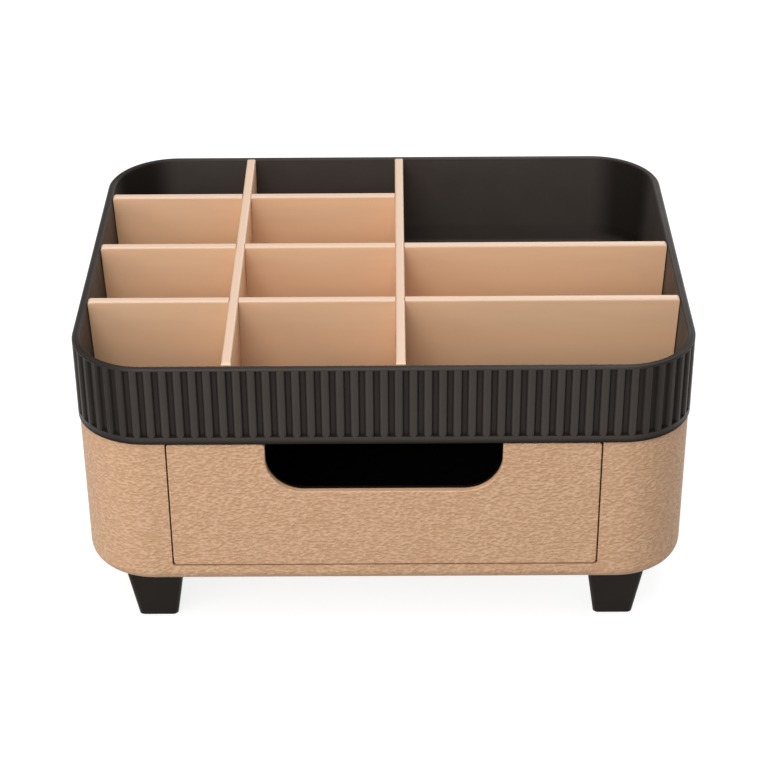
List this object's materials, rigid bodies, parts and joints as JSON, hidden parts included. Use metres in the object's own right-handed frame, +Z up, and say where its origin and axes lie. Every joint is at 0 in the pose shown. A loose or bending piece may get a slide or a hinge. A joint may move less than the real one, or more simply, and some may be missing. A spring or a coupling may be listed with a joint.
{
  "type": "makeup organizer",
  "caption": "Round-cornered desk organizer: a ribbed dark tray split by tan boards sits on a tan, leather-grained base with a notched drawer and tapered feet.",
  "frame": {"origin": "on the table, under the middle of the organizer", "axes": "+X to the right along the front, -Y to the drawer's side, +Z up"},
  "size_m": [0.26, 0.2, 0.141],
  "materials": {
    "tan_grain_plastic": "moulded leather grain, low sheen",
    "tan_smooth_plastic": "smooth satin",
    "black_plastic": "fine satin",
    "screw_steel": "zinc plated"
  },
  "bodies": {
    "base": {"base_shell": "tan_grain_plastic", "front_left_foot": "black_plastic", "front_right_foot": "black_plastic", "rear_left_foot": "black_plastic", "rear_right_foot": "black_plastic", "foot_screws": "screw_steel"},
    "drawer": {"drawer_front": "tan_grain_plastic", "drawer_bin": "black_plastic"},
    "tray": {"ribbed_wall": "black_plastic", "tray_tub": "black_plastic"},
    "dividers": {"left_long_divider": "tan_smooth_plastic", "centre_long_divider": "tan_smooth_plastic", "rear_cross_divider": "tan_smooth_plastic", "middle_cross_divider": "tan_smooth_plastic", "front_cross_divider": "tan_smooth_plastic"}
  },
  "joints": [
    {"name": "drawer_slide", "type": "slide", "parent": "base", "child": "drawer", "axis": [0, -1, 0], "range_m": [0, 0.15]},
    {"name": "tray_lift", "type": "slide", "parent": "base", "child": "tray", "axis": [0, 0, 1], "range_m": [0, 0.06]},
    {"name": "dividers_lift", "type": "slide", "parent": "tray", "child": "dividers", "axis": [0, 0, 1], "range_m": [0, 0.06]}
  ]
}
